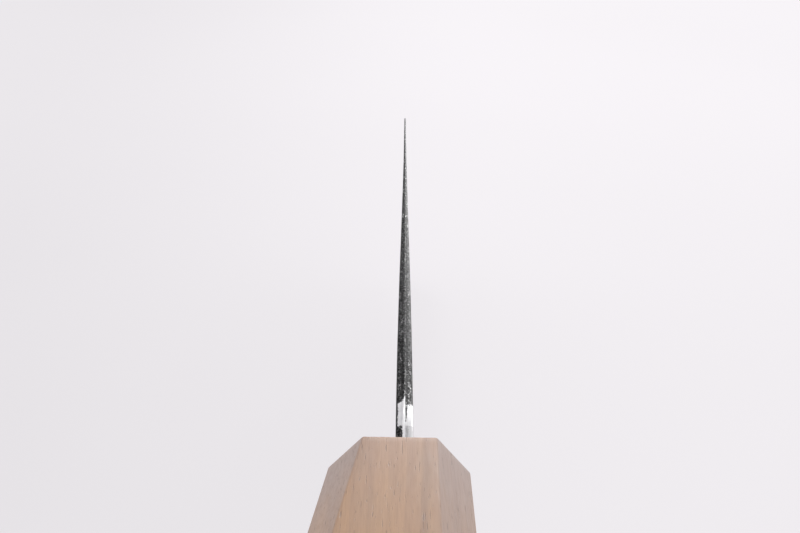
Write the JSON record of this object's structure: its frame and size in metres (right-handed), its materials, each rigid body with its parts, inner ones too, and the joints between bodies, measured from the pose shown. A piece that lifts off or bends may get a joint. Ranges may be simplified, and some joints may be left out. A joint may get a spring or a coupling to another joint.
{
  "type": "nakiri knife",
  "caption": "Vegetable knife with a tall squared blade of laminated steel, dark forged faces and a hidden tang in an octagonal wooden handle.",
  "frame": {"origin": "middle of the bounding box's base: halfway along the knife, on the blade's middle plane, level with the lowest point of the edge", "axes": "+X from the handle to the tip, +Y to the left of the hand that holds the knife, +Z from the edge to the spine"},
  "size_m": [0.311, 0.0246, 0.0575],
  "materials": {
    "core_steel": "ground and polished",
    "forged_cladding": "dark forge scale, ground bright on the bevel",
    "handle_wood": "sanded and oiled",
    "dowel_wood": "raw softwood",
    "seal_resin": "cured resin"
  },
  "bodies": {
    "root": {"blade_core": "core_steel", "cladding_left": "forged_cladding", "cladding_right": "forged_cladding", "handle": "handle_wood", "dowel_left": "dowel_wood", "dowel_right": "dowel_wood", "mouth_seal": "seal_resin"}
  },
  "joints": []
}
